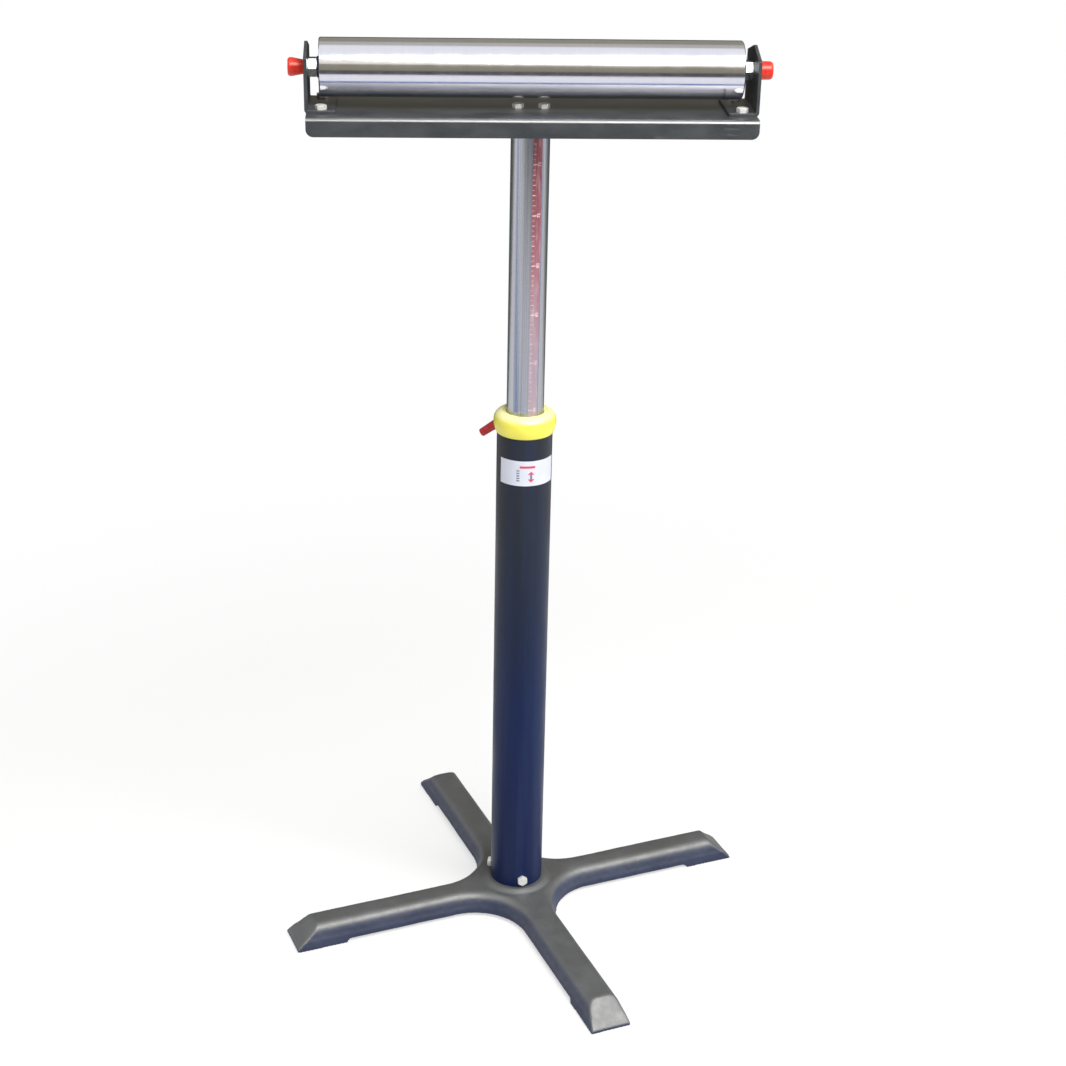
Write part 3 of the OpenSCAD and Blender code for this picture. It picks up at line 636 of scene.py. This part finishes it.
def crown(mesh):
    """Lowers the arms' upper face towards their sides, so that their edges look well rounded.

    The fall begins beside a flat middle strip. It fades in above base over rise, and outside
    the hub over run.
    """
    flat, fall = 3, 3.6
    base, rise = 9, 10
    hub, run = 44, 30
    for v in mesh.vertices:
        place = v.co * 1000
        radius = sqrt(place.x**2 + place.y**2)
        across = ARM_HALF_WIDTH
        for azimuth in (ARM_AZIMUTH, ARM_AZIMUTH + pi / 2):
            side = Vector((-sin(azimuth), cos(azimuth)))
            across = min(across, abs(side.x * place.x + side.y * place.y))
        share = held((across - flat) / (ARM_HALF_WIDTH - flat)) ** 2
        share *= held((place.z - base) / rise)
        share *= held((radius - hub) / run)
        v.co.z -= mm(fall * share)


def build_foot():
    """The CAD casting as one sand-cast skin, with crowned arms and a slightly uneven face."""
    voxel, passes = 1.4, 8
    broad, broad_cells = 0.35, 22
    small, small_cells = 0.10, 160
    column_gap, fade_out, fade_up = 3, 6, 3
    mesh = remeshed(NODES["base_casting"].data.copy(), voxel, passes)
    crown(mesh)
    places = [v.co.copy() for v in mesh.vertices]
    normals = [v.normal.copy() for v in mesh.vertices]
    moved = []
    for place, normal in zip(places, normals):
        radius = sqrt(place.x**2 + place.y**2)
        fade = held((radius - mm(COLUMN_R + column_gap)) / mm(fade_out))
        fade *= held(place.z / mm(fade_up))
        waves = noise.noise(place * broad_cells) * broad + noise.noise(place * small_cells) * small
        moved += list(place - normal * mm(fade * abs(waves)))
    mesh.vertices.foreach_set("co", moved)
    mesh.update()
    add_piece("foot_casting", mesh, "base", "cast_iron_paint", "base_casting")
    shade_round(mesh)


# Collar and clamp


def boss_slot():
    """The space that the clamp boss takes up in the collar, open below."""
    steps, below, past = 32, 12, 3
    direction = Vector((cos(CLAMP_AZIMUTH), sin(CLAMP_AZIMUTH), 0))
    side = Vector((-sin(CLAMP_AZIMUTH), cos(CLAMP_AZIMUTH), 0))
    angles = [pi * k / steps for k in range(steps + 1)]
    outline = [(CLAMP_HOLE_R * cos(angle), CLAMP_HOLE_R * sin(angle)) for angle in angles]
    outline += [(-CLAMP_HOLE_R, -below), (CLAMP_HOLE_R, -below)]
    bm = bmesh.new()
    rings = []
    for reach in (MAST_R + past, COLLAR_R + past):
        start = direction * reach + Vector((0, 0, CLAMP_Z))
        places = [(start + side * a + Vector((0, 0, u))) * 0.001 for a, u in outline]
        rings.append([bm.verts.new(place) for place in places])
    inner, outer = rings
    bm.faces.new(inner)
    bm.faces.new(outer)
    for k in range(len(outline)):
        m = (k + 1) % len(outline)
        bm.faces.new((inner[k], inner[m], outer[m], outer[k]))
    face_outwards(bm)
    return mesh_from(bm, "boss_slot")


def build_collar():
    """Moulded collar with a rolled lip round the mast and an open slot for the boss."""
    bore, mouth, roof, start = COLUMN_R + 0.05, MAST_R + 0.4, 17, 8
    widest, belly_r, steps = 12, 30, 8
    sharp = 40
    belly = []
    for k in range(1, steps + 1):
        drop = widest * (1 - k / steps)
        across = COLLAR_R - belly_r + sqrt(belly_r**2 - drop**2)
        belly.append((across, widest - drop, 0))
    outline = rounded(
        [
            (bore, start, 0),
            (bore, 0, 0.2),
            (COLUMN_R + 1, 0, 0.4),
            *belly,
            (COLLAR_R, COLLAR_HEIGHT, 9.4),
            (23.3, COLLAR_HEIGHT, 0.5),
            (22.1, 20.9, 0.5),
            (20.9, 21.7, 0.5),
            (mouth, 21.3, 0.6),
            (mouth, roof, 0.4),
            (bore, roof, 0.4),
            (bore, start, 0),
        ],
        10,
    )[:-1]
    lift = Matrix.Translation(mm(0, 0, COLLAR_BOTTOM))
    mesh = cut_away(lathe("collar", outline, lift, 192, True), boss_slot())
    bm = bmesh.new()
    bm.from_mesh(mesh)
    for edge in bm.edges:
        edge.smooth = not (edge.is_manifold and edge.calc_face_angle(0) > radians(sharp))
    bm.to_mesh(mesh)
    bm.free()
    smooth(add_piece("top_collar_moulded", mesh, "base", "yellow_plastic", "top_collar"))


def build_lever():
    """Lever moulded in one with its hub: the root is blended and the end is flat."""
    hub_reach, arm_reach = 42, 51.92
    lean, slope = radians(15), radians(38.5)
    voxel, passes = 0.4, 3
    clamp = Matrix.Translation(mm(0, 0, CLAMP_Z)) @ Matrix.Rotation(CLAMP_AZIMUTH, 4, "Z")
    hub_corners = [
        (5.05, 0, 0),
        (8.6, 0, 0.5),
        (9, 0.6, 0.4),
        (9, 16, 1.6),
        (6.2, 16, 0.4),
        (5.9, 15.6, 0.2),
        (5.05, 15.6, 0),
    ]
    arm_corners = [
        (0, 7.2, 0),
        (6.6, 7.2, 0.3),
        (5.4, 12, 5),
        (4.3, 48, 0.9),
        (2.6, 48, 0.3),
        (2.3, 47.4, 0.2),
        (0, 47.4, 0),
    ]
    hub_outline = rounded(hub_corners) + [hub_corners[0][:2]]
    hub = lathe("hub", hub_outline, clamp @ turned_to((1, 0, 0), (hub_reach, 0, 0)), 96, True)
    along = (sin(lean), cos(slope) * cos(lean), -sin(slope) * cos(lean))
    arm = lathe("arm", rounded(arm_corners), clamp @ turned_to(along, (arm_reach, 0, 0)), 72)
    bm = bmesh.new()
    bm.from_mesh(hub)
    bm.from_mesh(arm)
    mesh = remeshed(mesh_from(bm, "lever_moulded"), voxel, passes)
    add_piece("lever_moulded", mesh, "clamp_screw", "red_lever_plastic", "clamp_lever")
    shade_round(mesh)


def build_lever_screw():
    """Cheese-head screw with a slot."""
    reach, shank, shank_r, head, head_r = 55, 5, 2, 3, 4
    slot_width, slot_depth = 1.2, 1.3
    outline = rounded(
        [
            (0, -shank, 0),
            (shank_r, -shank, 0.3),
            (shank_r, 0, 0),
            (head_r, 0, 0.2),
            (head_r, head, 0.5),
            (0, head, 0),
        ],
        4,
    )
    bm = bmesh.new()
    bmesh.ops.create_cube(bm, size=1)
    bmesh.ops.scale(bm, vec=mm(2.4 * head_r, slot_width, 2 * slot_depth), verts=bm.verts)
    bmesh.ops.translate(bm, vec=mm(0, 0, head), verts=bm.verts)
    mesh = cut_away(lathe("screw", outline, turns=64), mesh_from(bm, "screw_slot"))
    mesh.transform(
        Matrix.Translation(mm(0, 0, CLAMP_Z))
        @ Matrix.Rotation(CLAMP_AZIMUTH, 4, "Z")
        @ turned_to((1, 0, 0), (reach, 0, 0))
    )
    smooth(add_piece("lever_screw_slotted", mesh, "clamp_screw", "dark_steel", "lever_screw"))


# Prints


def build_scale_print():
    """Ticks every 5 mm and plain figures every 50 mm, which give the roller's height in cm."""
    lowest, highest = 67, 114
    bottom, top = 402, 862
    tick_edge, figure_across, figure_size = -4.6, 2.2, 4.8
    collar_top = COLLAR_BOTTOM + COLLAR_HEIGHT
    pale = bmesh.new()
    for half_cm in range(2 * lowest, 2 * highest):
        height = STAND_HEIGHT - half_cm * 5 + collar_top
        if not bottom < height < top:
            continue
        numbered = half_cm % 10 == 0
        length, weight = (2.0, 0.35) if half_cm % 2 else (3.0, 0.5)
        if numbered:
            length, weight = 4.2, 0.8
        rectangle(pale, tick_edge + length / 2, height, length, weight)
        if numbered:
            figures(pale, str(half_cm // 2), figure_across, height, figure_size)
    mesh = wrapped(pale, "scale_figures", MAST_R - 0.01, SCALE_AZIMUTH)
    add_piece("scale_figures", mesh, "mast", None, finish="print_pale")


def build_label_print():
    """A generic label: a short red rule, grey lines and a grey and red double arrow."""
    radius = COLUMN_R + 0.26
    red, grey = bmesh.new(), bmesh.new()
    rectangle(red, -1.2, LABEL_MIDDLE + 7.0, 16, 2.4)
    lines, line_pitch = 5, 2.7
    for k in range(lines):
        rectangle(grey, -11.0, LABEL_MIDDLE + 3.0 - line_pitch * k, 3.2, 1.5)
    arrow_across, arrow_up, shaft = 2.6, LABEL_MIDDLE - 3.6, 2.4
    rectangle(grey, arrow_across, arrow_up, 2.2, 5.6)
    head = [(0, 3.6), (-3.6, 0), (3.6, 0)]
    for sign in (1, -1):
        base = arrow_up + sign * shaft
        places = [(arrow_across + x, base + sign * y, 0) for x, y in head]
        red.faces.new([red.verts.new(place) for place in places])
    for name, bm in (("red", red), ("grey", grey)):
        mesh = wrapped(bm, "label_" + name, radius, LABEL_AZIMUTH)
        add_piece("label_" + name, mesh, "base", None, finish="print_" + name)


# Roller and its caps


def build_roller():
    """Roller tube with rounded ends."""
    wall, chamfer = 2.5, 1
    bore = ROLLER_R - wall
    outline = rounded(
        [
            (bore, 0, 0),
            (bore, -ROLLER_END, 0.3),
            (ROLLER_R - chamfer, -ROLLER_END, 0.4),
            (ROLLER_R, -ROLLER_END + chamfer, 0.8),
            (ROLLER_R, ROLLER_END - chamfer, 0.8),
            (ROLLER_R - chamfer, ROLLER_END, 0.4),
            (bore, ROLLER_END, 0.3),
            (bore, 0, 0),
        ],
        5,
    )[:-1]
    mesh = lathe("roller_turned", outline, turned_to((1, 0, 0), (0, 0, AXLE_Z)), 256, True)
    smooth(add_piece("roller_turned", mesh, "roller", "roller_chrome", "roller_tube"))


def build_caps():
    """Soft red caps: the left one flares towards its end, the right one is nearly a barrel."""
    bore, depth, turns = 5, 13, 96
    left = [(6.4, 0, 0.4), (8.6, 11.4, 2.5), (8.75, 14.2, 0.5), (7.3, 16, 0.5)]
    right = [(8.0, 0, 0.5), (8.75, 6, 8), (8.5, 14.0, 1.5), (7.2, 16, 0.9)]
    for side, corners, name in ((-1, left, "left"), (1, right, "right")):
        skin = rounded([(bore, 0, 0), *corners, (0, 15.8, 0)])
        place = turned_to((side, 0, 0), (side * BRACKET_OUTER, 0, AXLE_Z))
        bm = bmesh.new()
        bm.from_mesh(lathe("cap", skin + [(0, depth), (bore, depth)], place, turns))
        bm.from_mesh(lathe("bore", [(bore, depth), (bore, 0)], place, turns))
        weld(bm)
        face_outwards(bm)
        mesh = mesh_from(bm, name + "_cap_moulded")
        smooth(add_piece(name + "_cap_moulded", mesh, "mast", "red_plastic", name + "_axle_cap"))


def build_pieces():
    for finish, names in KEPT.items():
        for node in names:
            materials = NODES[node].data.materials
            materials.clear()
            materials.append(FINISHES[finish])
    build_foot()
    build_collar()
    build_lever()
    dress("clamp_boss", "clamp_boss_turned", "column_paint", 0.5, 3)
    build_lever_screw()
    build_scale_print()
    build_label_print()
    build_roller()
    build_caps()
    dress("column_bolts", "column_bolts_plated", "zinc_bolt", 0.22)
    dress("channel_beam", "channel_folded", "black_paint", 0.6)
    dress("left_bracket", "left_bracket_folded", "black_paint", 0.7, 3)
    dress("right_bracket", "right_bracket_folded", "black_paint", 0.7, 3)
    for node in ("bracket_bolts", "bracket_nuts", "bracket_washers", "centre_bolts"):
        dress(node, node + "_plated", "zinc_bolt", 0.2)
    for side in ("left", "right"):
        dress(side + "_axle_nut", side + "_nut_plated", "turned_steel", 0.3)
        dress(side + "_axle_washer", side + "_washer_broken_edge", "dark_steel", 0.2)


# Stage


def bare_tree(owner):
    """The emptied node tree of a material or a world."""
    owner.use_nodes = True
    owner.node_tree.nodes.clear()
    return owner.node_tree


def seen_rays(tree):
    """1 for rays that show the backdrop: camera, reflection and transmission rays."""
    path = add_node(tree, "ShaderNodeLightPath")
    total = path.outputs["Is Camera Ray"]
    for name in ("Is Glossy Ray", "Is Transmission Ray"):
        inputs = {0: total, 1: path.outputs[name]}
        total = add_node(tree, "ShaderNodeMath", inputs, operation="MAXIMUM").outputs[0]
    return total


def build_floor():
    """Pale floor that runs out to plain white and keeps the stand's soft shadow."""
    radius, steps, drop = 14.0, 96, 0.0003
    near, far, least = 0.3, 1.3, 0.6
    angles = [2 * pi * k / steps for k in range(steps)]
    rim = [Vector((radius * cos(angle), radius * sin(angle), -drop)) for angle in angles]
    mesh = bpy.data.meshes.new("floor")
    mesh.from_pydata(rim, [], [tuple(range(steps))])
    material = bpy.data.materials.new("floor")
    tree = bare_tree(material)
    place = add_node(tree, "ShaderNodeTexCoord").outputs["Object"]
    length = add_node(tree, "ShaderNodeVectorMath", {0: place}, operation="LENGTH")
    inputs = {
        "Value": length.outputs["Value"],
        "From Min": near,
        "From Max": far,
        "To Min": least,
        "To Max": 1.0,
    }
    fade = add_node(tree, "ShaderNodeMapRange", inputs, interpolation_type="SMOOTHSTEP")
    inputs = {0: fade.outputs["Result"], 1: seen_rays(tree)}
    factor = add_node(tree, "ShaderNodeMath", inputs, operation="MULTIPLY")
    diffuse = add_node(tree, "ShaderNodeBsdfDiffuse", {"Color": (0.9, 0.9, 0.9, 1)})
    glow = add_node(tree, "ShaderNodeEmission", {"Strength": 1.0})
    inputs = {0: factor.outputs[0], 1: diffuse.outputs[0], 2: glow.outputs[0]}
    mix = add_node(tree, "ShaderNodeMixShader", inputs)
    add_node(tree, "ShaderNodeOutputMaterial", {0: mix.outputs[0]})
    mesh.materials.append(material)
    placed("floor", mesh)


def build_world(level):
    """A white surround: level is how strongly it lights the stand, and it is seen at full white."""
    white = (1, 1, 1, 1)
    world = bpy.data.worlds.new("studio")
    bpy.context.scene.world = world
    tree = bare_tree(world)
    light = add_node(tree, "ShaderNodeBackground", {"Color": white, "Strength": level})
    backdrop = add_node(tree, "ShaderNodeBackground", {"Color": white, "Strength": 1.0})
    inputs = {0: seen_rays(tree), 1: light.outputs[0], 2: backdrop.outputs[0]}
    mix = add_node(tree, "ShaderNodeMixShader", inputs)
    add_node(tree, "ShaderNodeOutputWorld", {0: mix.outputs[0]})


def card(name, corners, colour):
    """A studio card that only reflections see."""
    mesh = bpy.data.meshes.new(name)
    mesh.from_pydata([Vector(c) for c in corners], [], [tuple(range(len(corners)))])
    material = bpy.data.materials.new(name)
    tree = bare_tree(material)
    glow = add_node(tree, "ShaderNodeEmission", {"Color": colour, "Strength": 1.0})
    add_node(tree, "ShaderNodeOutputMaterial", {0: glow.outputs[0]})
    mesh.materials.append(material)
    piece = placed(name, mesh)
    piece.visible_camera = False
    piece.visible_diffuse = False
    piece.visible_shadow = False
    piece.visible_transmission = False
    piece.visible_volume_scatter = False


def build_cards():
    """Dark and tinted cards that give the bright metal its bands.

    Each is as wide as the rest, and runs from one (Y, Z) to another.
    """
    half_width = 5.0
    sheets = [
        ("floor_front", (-2.9, 0.004), (-4.6, 0.004), rgb(84, 84, 88)),
        ("floor_near", (-0.45, 0.004), (-0.95, 0.004), rgb(112, 140, 196)),
        ("front_low", (-4.6, 0.0), (-4.6, 0.78), rgb(88, 88, 90)),
        ("front_high", (-4.6, 0.78), (-4.6, 2.85), rgb(150, 144, 124)),
        ("front_warm", (-4.6, 2.85), (-4.6, 4.4), rgb(252, 246, 224)),
        ("ceiling_back", (1.0, 5.2), (3.0, 5.2), rgb(196, 193, 184)),
        ("back_high", (3.0, 1.75), (3.0, 5.2), rgb(156, 152, 136)),
        ("back_low", (3.0, 0.1), (3.0, 1.75), rgb(58, 56, 52)),
        ("floor_back", (1.1, 0.004), (4.5, 0.004), rgb(96, 98, 94)),
    ]
    for name, start, end, colour in sheets:
        corners = [
            (-half_width, *start),
            (half_width, *start),
            (half_width, *end),
            (-half_width, *end),
        ]
        card(name, corners, colour)


def build_key():
    """One large soft box, in front of the stand, above it and to its right."""
    place, target = Vector((1.1, -1.75, 3.1)), Vector((0, 0, 0.35))
    lamp = bpy.data.lights.new("key", "AREA")
    lamp.shape = "RECTANGLE"
    lamp.size, lamp.size_y = 2.8, 1.3
    lamp.energy = 165
    lamp.color = (1, 0.985, 0.96)
    holder = placed("key", lamp)
    holder.location = place
    holder.rotation_euler = (place - target).to_track_quat("Z", "Y").to_euler()


def build_camera():
    """The photograph's viewpoint: place, turn, pitch and roll of the camera."""
    azimuth, yaw = radians(-3.674), radians(-0.322)
    pitch, roll = radians(24.078), radians(1.258)
    distance, height, lens, sensor = 1.90457, 1.2990, 67.55, 36.0
    ahead = Vector((-sin(azimuth + yaw), cos(azimuth + yaw), 0))
    across = Vector((cos(azimuth + yaw), sin(azimuth + yaw), 0))
    forward = ahead * cos(pitch) - Vector((0, 0, 1)) * sin(pitch)
    up = across.cross(forward)
    right = across * cos(roll) + up * sin(roll)
    up = up * cos(roll) - across * sin(roll)
    data = bpy.data.cameras.new("camera")
    data.lens = lens
    data.sensor_width = sensor
    data.clip_start, data.clip_end = 0.05, 60
    camera = placed("camera", data)
    turn = Matrix((right, up, -forward)).transposed().to_4x4()
    place = Vector((distance * sin(azimuth), -distance * cos(azimuth), height))
    camera.matrix_world = Matrix.Translation(place) @ turn
    bpy.context.scene.camera = camera


build_camera()
build_pieces()
build_floor()
build_world(0.40)
build_cards()
build_key()
bpy.context.scene.view_settings.view_transform = "Standard"
